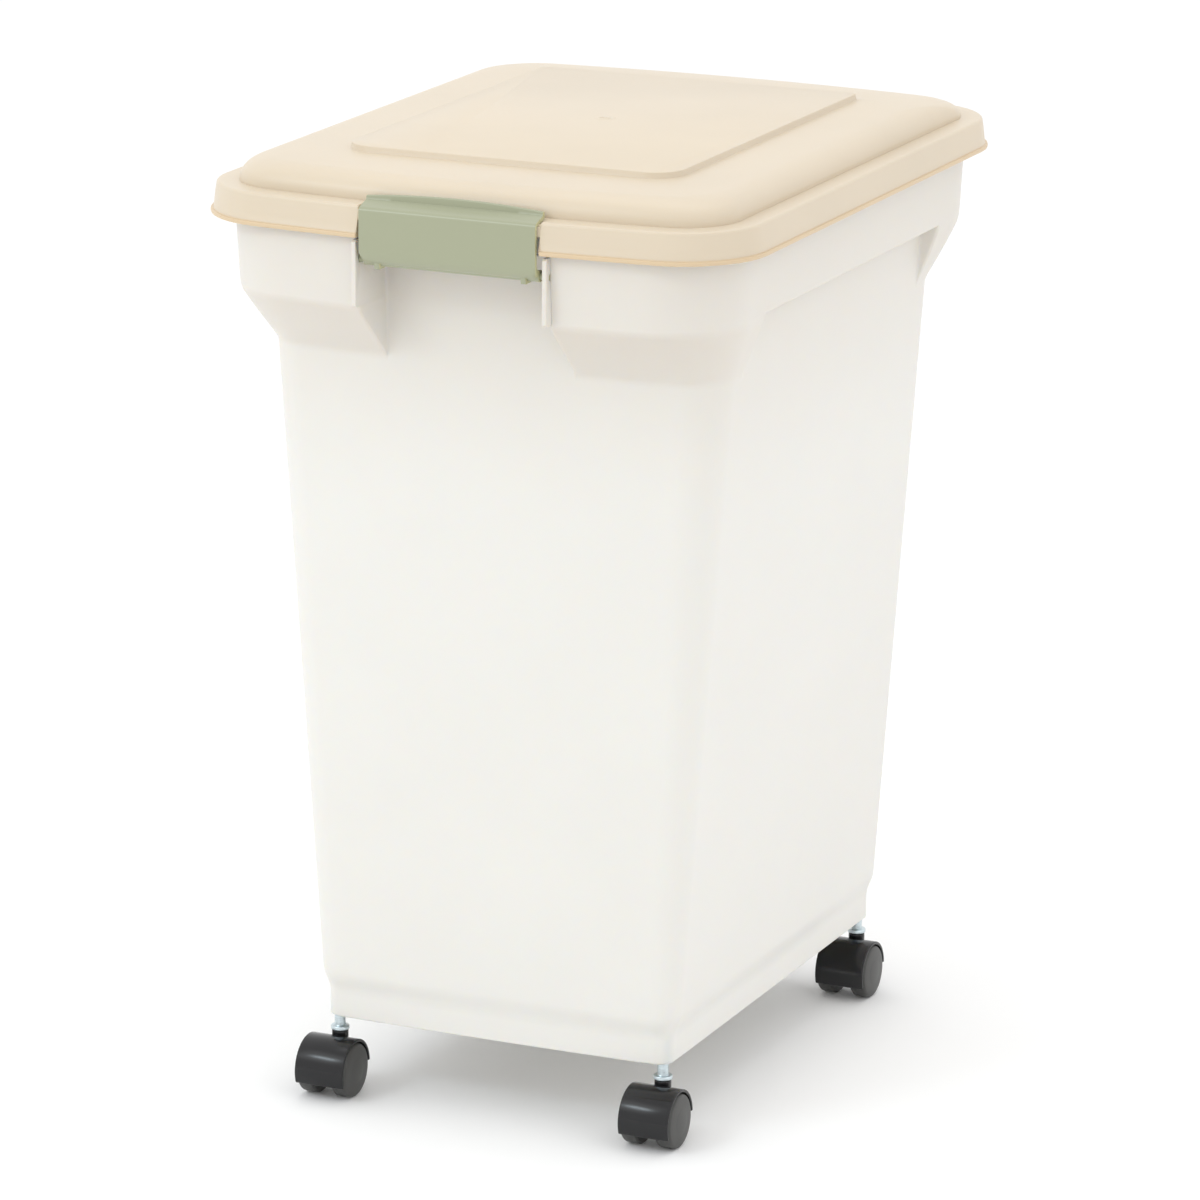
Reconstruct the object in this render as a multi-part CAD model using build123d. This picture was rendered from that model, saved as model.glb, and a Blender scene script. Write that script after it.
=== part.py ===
from build123d import *
import math
import os

os.makedirs("parts", exist_ok=True)

# A pet food container on four twin-wheel casters, in millimetres.
# It stands on z = 0 with its latch facing -Y. The pieces are drawn about the tub's own middle
# and moved together at the end, because the rear hinge stands out further than the latch.

# Casters
WHEEL_D = 38.0
WHEEL_W = 13.0
WHEEL_DOME = 0.8
WHEEL_EDGE = 2.5
HUB_D = 16.0
WEB_T = 12.0
WHEEL_SIDE_GAP = 0.8
HOOD_GAP = 0.9
HOOD_T = 2.2
HOOD_W = 37.0
HOOD_FRONT_Z = 11.0
HOOD_REAR_Z = 20.0
AXLE_D = 5.0
AXLE_END = 4.0
TRAIL = 12.5
NECK_D = 11.6
NECK_H = 2.0
JOURNAL_D = 7.0
JOURNAL_L = 16.0
COLLAR_D = 13.0
COLLAR_H = 3.0
STEM_D = 7.6
STEM_SHOW = 9.0
STEM_GRIP = 27.0
SOCKET_D = 10.5
BOSS_D = 14.0
STEM_INSET_X = 7.4
STEM_INSET_Y = 10.5

# Running and press clearances, each on the radius or on one side
RUN_GAP = 0.08
PRESS_GAP = 0.03

# Tub
WALL = 3.2
FLOOR_T = 4.0
FOOT_W = 260.0
FOOT_D = 374.0
FOOT_R = 12.0
FOOT_BOW = 1.5
FOOT_H = 22.0
STEP_H = 7.0
STEP_OUT = 4.5
WALL_H = 451.0
WALL_TOP_W = 333.6
WALL_TOP_D = 420.4
WALL_TOP_R = 28.0
BOW = 13.0
SHOULDER_H = 40.0
POD_OUT_X = 16.0
POD_OUT_Y = 42.0
BAND_R = 52.0
BAND_H = 64.0
BAND_FLARE = 3.5
LEDGE_RISE = 2.0
SINK = 6.0
GRIP_L = 314.0
REAR_GAP_W = 250.0
RIM_OUT = 1.0
RIM_T = 3.5

# Lid
LIP_OUT_X = 17.2
LIP_OUT_Y = 10.8
LIP_R = 54.0
LIP_DROP = 13.8
BEAD_H = 3.0
BEAD_OUT = 2.0
SKIRT_H = 21.5
SKIRT_DRAFT = 2.0
SKIRT_EDGE = 2.0
EDGE_STEPS = 4
LID_T = 3.0
SKIRT_T = 2.2
FLANGE_IN = 19.5
DOME_H = 17.0
DOME_IN = 24.0
DOME_REAR_IN = 105.0
DOME_STEPS = 5
PANEL_H = 4.2
PANEL_SLOPE = 1.0
PANEL_SIDE_IN = 78.0
PANEL_FRONT_IN = 91.0
PANEL_REAR_IN = 108.0
PANEL_FRONT_R = 22.0
PANEL_REAR_R = 5.0
SEAL_W = 5.0
SEAL_SQUEEZE_GAP = 0.2
SEAL_RIB_T = 2.0
SEAL_RIB_H = 3.5

# Latch
LATCH_W = 127.6
LATCH_T = 2.5
LATCH_H = 39.0
LATCH_OUT = -1.7
LATCH_DEPTH = 14.5
LATCH_TILT = 3.0
LATCH_LIP_H = 2.5
LATCH_ARCH = 3.0
LATCH_CORNER = 8.0
LATCH_BOTTOM_BEND = 5.0
LATCH_TOP_BEND = 2.0
LATCH_PLAY = 0.4
PIVOT_DROP = 15.2
PIVOT_IN = 0.7
BARREL_D = 8.0
TRUNNION_D = 5.0
TRUNNION_L = 6.2
ARM_T = 4.0
ARM_IN = 10.8
ARM_DROP = 4.5
END_GAP = 3.6
EAR_W = 3.2
EAR_OUT = 6.5
EAR_TRIM = 2.0
NOTCH_GAP = 2.5
NOTCH_PLAY = 0.8
NOTCH_H = 12.0
RAMP_DEPTH = 12.0
RAMP_DROP = 2.6
RECESS_ROOF_DROP = 2.0

# Rear hinge
HINGE_X = 95.0
KNUCKLE_W = 30.0
KNUCKLE_R = 5.5
CHEEK_T = 5.0
CHEEK_H = 24.0
HINGE_GAP = 0.5
HINGE_OUT = 6.4
HINGE_DROP = 8.0
PIN_D = 4.0
PIN_HEAD_D = 7.0
PIN_HEAD_T = 1.5

# The band stands out from the wall, and the lid's lip from the band
BAND_W = WALL_TOP_W + 2 * POD_OUT_X
BAND_D = WALL_TOP_D + 2 * POD_OUT_Y
LIP_W = BAND_W + 2 * LIP_OUT_X
LIP_D = BAND_D + 2 * LIP_OUT_Y

# Heights worked out from the floor up
WHEEL_R = WHEEL_D / 2
HOOD_R = WHEEL_R + HOOD_GAP + HOOD_T
NECK_Z = WHEEL_R + HOOD_R + NECK_H
COLLAR_Z = NECK_Z + RUN_GAP
FOOT_Z = COLLAR_Z + COLLAR_H + STEM_SHOW
STEP_Z = FOOT_Z + FOOT_H
FLOOR_Z = STEP_Z + STEP_H
SHOULDER_Z = FLOOR_Z + WALL_H
BAND_Z = SHOULDER_Z + SHOULDER_H
LEDGE_Z = BAND_Z + LEDGE_RISE
RIM_Z = BAND_Z + BAND_H
LIP_Z = RIM_Z - LIP_DROP
FLANGE_Z = LIP_Z + SKIRT_H
DECK_Z = FLANGE_Z - LID_T
DOME_Z = FLANGE_Z + DOME_H
PIVOT_Z = LIP_Z - PIVOT_DROP
PIVOT_Y = PIVOT_IN - BAND_D / 2
HINGE_Z = LIP_Z - HINGE_DROP
LATCH_FRONT = LIP_D / 2 + LATCH_OUT
HINGE_BACK = LIP_D / 2 - BOW * (2 * HINGE_X / LIP_W) ** 2 + HINGE_OUT
SHIFT_Y = (LATCH_FRONT - HINGE_BACK - KNUCKLE_R) / 2
RECESS_W = LATCH_W + 2 * END_GAP
RECESS_ROOF_Z = LIP_Z - RECESS_ROOF_DROP
STEM_X = FOOT_W / 2 - STEM_INSET_X
STEM_Y = FOOT_D / 2 - STEM_INSET_Y
BIG = 2 * LIP_D


def outline(width, depth, radius, bow, height, shift=0.0):
    """A rounded rectangle at a height, its front and rear bulging by bow at the middle."""
    half = width / 2
    side = depth / 2 - bow
    edges = [
        Line((half, -side), (half, side)),
        ThreePointArc((half, side), (0, depth / 2), (-half, side)),
        Line((-half, side), (-half, -side)),
        ThreePointArc((-half, -side), (0, -depth / 2), (half, -side)),
    ]
    face = make_face(edges)
    return Pos(0, shift, height) * fillet(face.vertices(), radius)


def between(low, high, share):
    return low + (high - low) * share


def block(x, y, z):
    """A box from its ranges along the three axes."""
    size = Box(x[1] - x[0], y[1] - y[0], z[1] - z[0])
    return Pos((x[0] + x[1]) / 2, (y[0] + y[1]) / 2, (z[0] + z[1]) / 2) * size


def rod_x(radius, start, end, y, z):
    """A round rod along X."""
    return Pos((start + end) / 2, y, z) * Rot(0, 90, 0) * Cylinder(radius, end - start)


def rod_z(radius, low, high, x=0.0, y=0.0):
    """A round rod along Z."""
    return Pos(x, y, (low + high) / 2) * Cylinder(radius, high - low)


def slice_x(profile, start, end):
    """A profile drawn as (y, z) and extruded along X from start to end."""
    return extrude(Pos(start, 0, 0) * (Plane.YZ * profile), end - start, dir=(1, 0, 0))


# Outlines of the tub and the lid


def foot_outline(height, inset=0.0):
    return outline(FOOT_W - 2 * inset, FOOT_D - 2 * inset, FOOT_R - inset, FOOT_BOW, height)


def wall_outline(height, inset=0.0):
    """The tapered wall at a height: straight below, bowed where it meets the shoulder."""
    share = (height - FLOOR_Z) / WALL_H
    width = between(FOOT_W + 2 * STEP_OUT, WALL_TOP_W, share)
    depth = between(FOOT_D + 2 * STEP_OUT, WALL_TOP_D, share)
    radius = between(FOOT_R + STEP_OUT, WALL_TOP_R, share)
    bow = between(FOOT_BOW, BOW, share)
    return outline(width - 2 * inset, depth - 2 * inset, radius - inset, bow, height)


def band_outline(height, inset=0.0):
    """The upright band under the lid, slightly wider at the rim."""
    grow = BAND_FLARE * (height - BAND_Z) / BAND_H - inset
    return outline(BAND_W + 2 * grow, BAND_D + 2 * grow, BAND_R + grow, BOW, height)


def lid_outline(height, inset=0.0):
    return outline(LIP_W - 2 * inset, LIP_D - 2 * inset, LIP_R - inset, BOW, height)


def band_rear(x):
    """How far back the band's upper part stands at a place along X."""
    half = BAND_W / 2
    return BAND_D / 2 - BOW * (x / half) ** 2


# Tub


def tub_form(inset, bottom, top, recess_side):
    """The tub above its foot; with an inset it is the hollow inside the wall."""
    wall = loft([wall_outline(bottom, inset), wall_outline(top, inset)], ruled=True)
    sunk = inset + SINK * (BAND_W - WALL_TOP_W) / (2 * SHOULDER_H)
    levels = [wall_outline(SHOULDER_Z, sunk), band_outline(BAND_Z, inset), band_outline(top, inset)]
    levels[0] = Pos(0, 0, -SINK) * levels[0]
    crown = loft(levels, ruled=True)
    below = (FLOOR_Z, LEDGE_Z + inset)
    grip = GRIP_L / 2 + inset
    rear = REAR_GAP_W / 2 + inset
    recess = RECESS_W / 2 + recess_side
    crown -= block((-BIG, BIG), (-grip, grip), below)
    crown -= block((-rear, rear), (0, BIG), below)
    crown -= block((-recess, recess), (-BIG, 0), (FLOOR_Z, RECESS_ROOF_Z + inset))
    return wall + crown


def foot():
    """The hollow foot below the raised floor, with a boss for each caster's stem."""
    skirt = extrude(foot_outline(FOOT_Z), FOOT_H)
    skirt += loft([foot_outline(STEP_Z), wall_outline(FLOOR_Z)], ruled=True)
    skirt -= extrude(foot_outline(FOOT_Z, WALL), FOOT_H + STEP_H)
    for x in (-STEM_X, STEM_X):
        for y in (-STEM_Y, STEM_Y):
            skirt += rod_z(BOSS_D / 2, FOOT_Z, FLOOR_Z, x, y)
    for x in (-STEM_X, STEM_X):
        for y in (-STEM_Y, STEM_Y):
            skirt -= rod_z(SOCKET_D / 2 + PRESS_GAP, FOOT_Z, FOOT_Z + STEM_GRIP, x, y)
    return skirt


def latch_ears():
    """Flat strips that frame the latch's recess, standing proud of the band."""
    ears = None
    front = BAND_D / 2 + EAR_OUT
    for side in (-1, 1):
        inner = side * RECESS_W / 2
        outer = side * (RECESS_W / 2 + EAR_W)
        x = (min(inner, outer), max(inner, outer))
        strip = block(x, (-front, WALL - BAND_D / 2), (BAND_Z + EAR_TRIM, LIP_Z - EAR_TRIM))
        ears = strip if ears is None else ears + strip
    return ears


def trunnion_holes():
    """Bores through the ears for the latch's trunnions."""
    radius = TRUNNION_D / 2 + RUN_GAP
    reach = LATCH_W / 2 + TRUNNION_L + RUN_GAP
    return rod_x(radius, -reach, reach, PIVOT_Y, PIVOT_Z)


def cheek(x):
    """One plate of a rear hinge bracket, with its bore for the pin."""
    root = band_rear(abs(x)) - WALL / 2
    top = HINGE_Z + KNUCKLE_R
    plate = Polygon(
        (root, top),
        (root, top - CHEEK_H),
        (HINGE_BACK, HINGE_Z - KNUCKLE_R),
        (HINGE_BACK, top),
        align=None,
    )
    plate += Pos(HINGE_BACK, HINGE_Z) * Circle(KNUCKLE_R)
    plate -= Pos(HINGE_BACK, HINGE_Z) * Circle(PIN_D / 2 + PRESS_GAP)
    return slice_x(plate, x - CHEEK_T / 2, x + CHEEK_T / 2)


def tub():
    body = tub_form(0.0, FLOOR_Z, RIM_Z, 0.0)
    body += extrude(band_outline(RIM_Z, -RIM_OUT), -RIM_T)
    body -= tub_form(WALL, FLOOR_Z + FLOOR_T, RIM_Z + RIM_T, WALL)
    body += foot()
    body += latch_ears()
    body -= trunnion_holes()
    offset = (KNUCKLE_W + CHEEK_T) / 2 + HINGE_GAP
    for side in (-1, 1):
        body += cheek(side * HINGE_X - offset)
        body += cheek(side * HINGE_X + offset)
    return body


# Lid


def dome(inset):
    """The lid's dome, full at the front and sides and long at the rear."""
    sections = []
    for step in range(DOME_STEPS + 1):
        share = step / DOME_STEPS
        rise = (DOME_H - inset) * (1 - (1 - share) ** 2)
        move = share**2
        side = FLANGE_IN + inset + DOME_IN * move
        slide = (DOME_REAR_IN - DOME_IN) * move
        sections.append(
            outline(
                LIP_W - 2 * side,
                LIP_D - 2 * side - slide,
                LIP_R - FLANGE_IN - inset,
                BOW,
                FLANGE_Z + rise,
                -slide / 2,
            )
        )
    return loft(sections)


def panel(inset):
    """The raised panel on top of the dome, or with an inset the hollow below it."""
    half = LIP_W / 2 - PANEL_SIDE_IN
    front = PANEL_FRONT_IN - LIP_D / 2
    rear = LIP_D / 2 - PANEL_REAR_IN
    low = DOME_Z - 2 * inset - LID_T / 2
    levels = []
    for edge, height in ((inset, low), (inset + PANEL_SLOPE, DOME_Z + PANEL_H - inset)):
        size = Rectangle(2 * (half - edge), rear - front - 2 * edge)
        corners = size.vertices().sort_by(Axis.Y)
        shape = fillet(corners[:2], PANEL_FRONT_R - edge)
        shape = fillet(shape.vertices().sort_by(Axis.Y)[-2:], PANEL_REAR_R - edge)
        levels.append(Pos(0, (front + rear) / 2, height) * shape)
    return loft(levels, ruled=True)


def seal_ring(outer, inner, low, high):
    """A ring that follows the tub's rim, between two insets from the rim's edge."""
    ring = extrude(band_outline(RIM_Z, outer - RIM_OUT), high - low)
    ring -= extrude(band_outline(RIM_Z, inner - RIM_OUT), high - low)
    return Pos(0, 0, low - RIM_Z) * ring


SEAL_OUTER = 0.0
SEAL_INNER = SEAL_OUTER + SEAL_W


def knuckle(x):
    """The lid's half of one rear hinge: an arm from the skirt and its barrel."""
    root = LIP_D / 2 - BOW * (x / (LIP_W / 2)) ** 2 - BEAD_OUT - SKIRT_DRAFT - LID_T / 2
    arm = Polygon(
        (root, FLANGE_Z - SKIRT_EDGE - LID_T),
        (root, LIP_Z + BEAD_H),
        (HINGE_BACK - KNUCKLE_R, HINGE_Z),
        (HINGE_BACK + KNUCKLE_R, HINGE_Z),
        (HINGE_BACK + KNUCKLE_R, HINGE_Z + KNUCKLE_R),
        (root + 2 * LID_T, FLANGE_Z - SKIRT_EDGE - LID_T),
        align=None,
    )
    arm += Pos(HINGE_BACK, HINGE_Z) * Circle(KNUCKLE_R)
    arm -= Pos(HINGE_BACK, HINGE_Z) * Circle(PIN_D / 2 + RUN_GAP)
    return slice_x(arm, x - KNUCKLE_W / 2, x + KNUCKLE_W / 2)


def lid():
    skirt_in = BEAD_OUT + SKIRT_DRAFT
    sections = [lid_outline(LIP_Z, BEAD_OUT)]
    for step in range(EDGE_STEPS + 1):
        turn = math.radians(90 * step / EDGE_STEPS)
        down = SKIRT_EDGE * (1 - math.sin(turn))
        across = skirt_in + SKIRT_EDGE * (1 - math.cos(turn))
        sections.append(lid_outline(FLANGE_Z - down, across))
    skirt = loft(sections, ruled=True)
    skirt += extrude(lid_outline(LIP_Z), BEAD_H)
    skirt -= loft(
        [lid_outline(LIP_Z, BEAD_OUT + SKIRT_T), lid_outline(DECK_Z, skirt_in + SKIRT_T)],
        ruled=True,
    )
    shell = skirt + dome(0.0) + panel(0.0)
    shell -= Pos(0, 0, -LID_T) * extrude(lid_outline(FLANGE_Z, FLANGE_IN + LID_T), LID_T)
    shell -= dome(LID_T)
    shell -= panel(LID_T)
    shell += seal_ring(SEAL_OUTER - SEAL_RIB_T, SEAL_OUTER, DECK_Z - SEAL_RIB_H, DECK_Z)
    shell += seal_ring(SEAL_INNER, SEAL_INNER + SEAL_RIB_T, DECK_Z - SEAL_RIB_H, DECK_Z)
    notch = RECESS_W / 2 + NOTCH_GAP
    front = (-BIG, BEAD_OUT + LID_T + BOW - LIP_D / 2)
    edge = NOTCH_PLAY + LATCH_T - LATCH_FRONT
    shell -= block((-notch, notch), front, (LIP_Z, LIP_Z + NOTCH_H))
    shell -= block((-notch, notch), (-BIG, edge), (LIP_Z, FLANGE_Z))
    ramp = Polygon(
        (edge + RAMP_DEPTH, FLANGE_Z),
        (edge, FLANGE_Z - RAMP_DROP),
        (edge - RAMP_DEPTH, FLANGE_Z - RAMP_DROP),
        (edge - RAMP_DEPTH, FLANGE_Z),
        align=None,
    )
    shell -= slice_x(ramp, -notch, notch)
    for side in (-1, 1):
        shell += knuckle(side * HINGE_X)
    return shell


def lid_seal():
    return seal_ring(SEAL_OUTER, SEAL_INNER, RIM_Z + SEAL_SQUEEZE_GAP, DECK_Z)


def hinge_pin(side):
    """A headed pin through one rear hinge; the head is on the outer side."""
    reach = KNUCKLE_W / 2 + HINGE_GAP + CHEEK_T
    inner = side * (HINGE_X - reach)
    outer = side * (HINGE_X + reach)
    head = outer + side * PIN_HEAD_T
    pin = rod_x(PIN_D / 2, min(inner, outer), max(inner, outer), HINGE_BACK, HINGE_Z)
    return pin + rod_x(PIN_HEAD_D / 2, min(outer, head), max(outer, head), HINGE_BACK, HINGE_Z)


# Latch


def latch():
    """A flip latch: front plate, rising hook over the lid, curled foot and hinge barrel."""
    half = LATCH_W / 2
    under = FLANGE_Z + LATCH_PLAY
    top = under + LATCH_T
    low = top - LATCH_TILT - LATCH_H
    front = -LATCH_FRONT
    hook = front + LATCH_DEPTH
    tip = top + LATCH_LIP_H + LATCH_ARCH
    plate = Polygon(
        (front, low),
        (PIVOT_Y, low),
        (PIVOT_Y, low + LATCH_T),
        (front + LATCH_T, low + LATCH_T),
        (front + LATCH_T, under - LATCH_TILT),
        (hook, under),
        (hook, tip),
        (hook - LATCH_T, tip),
        (hook - LATCH_T, top),
        (front, top - LATCH_TILT),
        align=None,
    )
    corners = plate.vertices().filter_by(lambda v: abs(v.X - front) < LATCH_T / 4)
    plate = fillet(corners.sort_by(Axis.Y)[0], LATCH_BOTTOM_BEND)
    corners = plate.vertices().filter_by(lambda v: abs(v.X - front) < LATCH_T / 4)
    plate = fillet(corners.sort_by(Axis.Y)[-1], LATCH_TOP_BEND)
    body = slice_x(plate, -half, half)
    arch = ThreePointArc((-half, tip - LATCH_ARCH), (0, tip), (half, tip - LATCH_ARCH))
    sides = Polyline((half, tip - LATCH_ARCH), (half, low), (-half, low), (-half, tip - LATCH_ARCH))
    face = make_face([arch] + sides.edges())
    shape = fillet(face.vertices().sort_by(Axis.Y)[:2], LATCH_CORNER)
    cover = extrude(Plane.XZ * shape, BIG, both=True)
    body = body & cover
    for side in (-1, 1):
        middle = side * (half - ARM_IN)
        arm = Polygon(
            (front + LATCH_T, low + LATCH_T),
            (PIVOT_Y - BARREL_D / 4, low - ARM_DROP),
            (PIVOT_Y + BARREL_D / 2, low - ARM_DROP),
            (PIVOT_Y, PIVOT_Z + BARREL_D / 2),
            (front + LATCH_T, PIVOT_Z + BARREL_D / 2),
            align=None,
        )
        body += slice_x(arm, middle - ARM_T / 2, middle + ARM_T / 2)
    body += rod_x(BARREL_D / 2, -half, half, PIVOT_Y, PIVOT_Z)
    reach = half + TRUNNION_L
    return body + rod_x(TRUNNION_D / 2, -reach, reach, PIVOT_Y, PIVOT_Z)


# Casters, each drawn with its stem on the z axis and its wheels trailing to -Y


def hood():
    """The caster's body: a web between the wheels, a hood over them and a neck."""
    half = HOOD_W / 2
    shell = rod_x(HOOD_R, -half, half, -TRAIL, WHEEL_R)
    shell -= rod_x(HOOD_R - HOOD_T, -half, half, -TRAIL, WHEEL_R)
    web = rod_x(HOOD_R - HOOD_T / 2, -WEB_T / 2, WEB_T / 2, -TRAIL, WHEEL_R)
    body = shell + web
    body -= block((-BIG, BIG), (-TRAIL - BIG, -TRAIL), (-BIG, HOOD_FRONT_Z))
    body -= block((-BIG, BIG), (-TRAIL, BIG), (-BIG, HOOD_REAR_Z))
    body += rod_x(AXLE_D, -WEB_T / 2, WEB_T / 2, -TRAIL, WHEEL_R)
    body += rod_z(NECK_D / 2, NECK_Z - JOURNAL_L - HOOD_T, NECK_Z)
    body -= rod_z(JOURNAL_D / 2 + RUN_GAP, NECK_Z - JOURNAL_L, NECK_Z)
    return body - rod_x(AXLE_D / 2 + PRESS_GAP, -half, half, -TRAIL, WHEEL_R)


def axle():
    reach = WEB_T / 2 + WHEEL_SIDE_GAP + WHEEL_W - AXLE_END
    return rod_x(AXLE_D / 2, -reach, reach, -TRAIL, WHEEL_R)


def wheel(side):
    """A wheel with a domed outer face and a blind bore that hides the axle."""
    inner = WEB_T / 2 + WHEEL_SIDE_GAP
    outer = inner + WHEEL_W
    face = outer - WHEEL_DOME
    bore = AXLE_D / 2 + RUN_GAP
    bottom = outer - AXLE_END + RUN_GAP
    profile = make_face(
        [
            Line((inner, bore), (inner, WHEEL_R - WHEEL_EDGE / 2)),
            Line((inner, WHEEL_R - WHEEL_EDGE / 2), (inner + WHEEL_EDGE / 2, WHEEL_R)),
            Line((inner + WHEEL_EDGE / 2, WHEEL_R), (face - WHEEL_EDGE, WHEEL_R)),
            TangentArc((face - WHEEL_EDGE, WHEEL_R), (face, WHEEL_R - WHEEL_EDGE), tangent=(1, 0)),
            Line((face, WHEEL_R - WHEEL_EDGE), (outer, HUB_D / 2)),
            Line((outer, HUB_D / 2), (outer, 0)),
            Line((outer, 0), (bottom, 0)),
            Line((bottom, 0), (bottom, bore)),
            Line((bottom, bore), (inner, bore)),
        ]
    )
    right = revolve(profile, Axis.X)
    if side < 0:
        right = mirror(right, Plane.YZ)
    return Pos(0, -TRAIL, WHEEL_R) * right


def stem():
    """The steel stem with its collar, journal below and grip length above."""
    body = rod_z(STEM_D / 2, COLLAR_Z, FOOT_Z + STEM_GRIP)
    body += rod_z(COLLAR_D / 2, COLLAR_Z, COLLAR_Z + COLLAR_H)
    return body + rod_z(JOURNAL_D / 2, NECK_Z - JOURNAL_L + HOOD_T, COLLAR_Z)


def grip_ring():
    """The sleeve pressed into the tub's boss that grips the stem."""
    sleeve = rod_z(SOCKET_D / 2, FOOT_Z, FOOT_Z + STEM_GRIP)
    return sleeve - rod_z(STEM_D / 2 + PRESS_GAP, FOOT_Z, FOOT_Z + STEM_GRIP)


def save(name, shape):
    """Writes one piece, moved so that the origin is under the middle of the whole container."""
    export_step(Pos(0, SHIFT_Y, 0) * shape, f"parts/{name}.step")


save("body_tub", tub())
save("lid_shell", lid())
save("lid_seal", lid_seal())
save("front_latch", latch())
save("hinge_pin_left", hinge_pin(-1))
save("hinge_pin_right", hinge_pin(1))

CORNERS = {
    "front_left": (-STEM_X, -STEM_Y),
    "front_right": (STEM_X, -STEM_Y),
    "rear_left": (-STEM_X, STEM_Y),
    "rear_right": (STEM_X, STEM_Y),
}
CASTER = {
    "stem": stem(),
    "grip_ring": grip_ring(),
    "hood": hood(),
    "axle": axle(),
    "wheel_left": wheel(-1),
    "wheel_right": wheel(1),
}
for corner, (x, y) in CORNERS.items():
    for piece, shape in CASTER.items():
        save(f"{corner}_{piece}", Pos(x, y, 0) * shape)
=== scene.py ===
import math
import bmesh
import bpy
from mathutils import Matrix, Vector


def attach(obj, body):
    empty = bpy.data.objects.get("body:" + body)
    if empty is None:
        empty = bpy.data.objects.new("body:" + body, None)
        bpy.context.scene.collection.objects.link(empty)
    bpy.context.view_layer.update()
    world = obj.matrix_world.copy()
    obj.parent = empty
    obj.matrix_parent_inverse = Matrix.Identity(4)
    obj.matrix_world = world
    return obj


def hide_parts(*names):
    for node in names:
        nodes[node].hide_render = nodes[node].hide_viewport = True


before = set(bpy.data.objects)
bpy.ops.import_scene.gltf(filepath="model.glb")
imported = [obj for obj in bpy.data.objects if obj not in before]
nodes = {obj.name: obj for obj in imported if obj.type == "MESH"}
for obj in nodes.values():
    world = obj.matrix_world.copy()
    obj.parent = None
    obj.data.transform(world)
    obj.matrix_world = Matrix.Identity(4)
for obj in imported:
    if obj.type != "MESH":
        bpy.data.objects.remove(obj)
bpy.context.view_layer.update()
scene = bpy.context.scene

# Sizes are in millimetres, as in the CAD model. SHIFT moves the tub's own middle to the CAD origin.
MM = 0.001
SHIFT = -5.33


# Camera, placed by a perspective fit of the photograph

AZIMUTH = math.radians(24.031)
ELEVATION = math.radians(14.925)
ROLL = math.radians(-0.367)
DISTANCE = 4368.0
AIM_Z = 340.0
FRAME_PX = 1200
FOCAL_PX = 6229.5
CENTRE_X_PX = 607.23
CENTRE_Y_PX = 576.85
SENSOR = 36.0


def add_camera():
    """A camera at the photograph's angle, aimed at the middle of the object."""
    level = math.cos(ELEVATION)
    back = Vector((math.sin(AZIMUTH) * level, -math.cos(AZIMUTH) * level, math.sin(ELEVATION)))
    right = Vector((math.cos(AZIMUTH), math.sin(AZIMUTH), 0.0))
    up = back.cross(right)
    turned = right * math.cos(ROLL) - up * math.sin(ROLL)
    above = right * math.sin(ROLL) + up * math.cos(ROLL)
    data = bpy.data.cameras.new("camera")
    data.sensor_width = SENSOR
    data.lens = FOCAL_PX / FRAME_PX * SENSOR
    data.shift_x = (FRAME_PX / 2 - CENTRE_X_PX) / FRAME_PX
    data.shift_y = (CENTRE_Y_PX - FRAME_PX / 2) / FRAME_PX
    data.clip_end = 50.0
    camera = bpy.data.objects.new("camera", data)
    scene.collection.objects.link(camera)
    place = Vector((0.0, SHIFT, AIM_Z)) * MM + back * DISTANCE * MM
    camera.matrix_world = Matrix.Translation(place) @ Matrix((turned, above, back)).transposed().to_4x4()
    return camera


scene.camera = add_camera()


# Light: a plain studio, soft from above, the left and the front

FILL = 1.06


def background(tree, strength):
    """A white sky of a given strength."""
    sky = tree.nodes.new("ShaderNodeBackground")
    sky.inputs["Color"].default_value = (1.0, 1.0, 1.0, 1.0)
    sky.inputs["Strength"].default_value = strength
    return sky


def studio():
    """A world that lights the object softly and that the camera sees as plain white."""
    world = bpy.data.worlds.new("studio")
    world.use_nodes = True
    tree = world.node_tree
    tree.nodes.clear()
    out = tree.nodes.new("ShaderNodeOutputWorld")
    path = tree.nodes.new("ShaderNodeLightPath")
    choice = tree.nodes.new("ShaderNodeMixShader")
    tree.links.new(path.outputs["Is Camera Ray"], choice.inputs[0])
    tree.links.new(background(tree, FILL).outputs[0], choice.inputs[1])
    tree.links.new(background(tree, 1.0).outputs[0], choice.inputs[2])
    tree.links.new(choice.outputs[0], out.inputs["Surface"])
    return world


def lamp(name, spot, aim, size, power, color=(1.0, 1.0, 1.0)):
    """A soft rectangular lamp; places and sizes in metres, power in watts."""
    data = bpy.data.lights.new(name, "AREA")
    data.shape = "RECTANGLE"
    data.size = size[0]
    data.size_y = size[1]
    data.energy = power
    data.color = color
    light = bpy.data.objects.new(name, data)
    scene.collection.objects.link(light)
    light.location = spot
    light.rotation_euler = (Vector(aim) - Vector(spot)).to_track_quat("-Z", "Y").to_euler()


scene.world = studio()
lamp("key", (-1.3, -1.9, 2.0), (0.0, 0.0, 0.35), (1.6, 1.6), 5.0)
lamp("glint", (-1.3, -2.2, 2.1), (0.0, 0.0, 0.05), (0.9, 0.3), 9.0, (0.8, 0.93, 1.0))
lamp("side", (2.3, -0.6, 1.1), (0.0, 0.0, 0.3), (1.4, 1.8), 2.5)
lamp("top", (0.0, 0.3, 2.6), (0.0, 0.0, 0.5), (1.8, 1.8), 7.0)
scene.view_settings.view_transform = "Standard"


# Material helpers. A tree is a material's node tree, and its shader a Principled BSDF.

PLASTIC_IOR = 1.49


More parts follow.
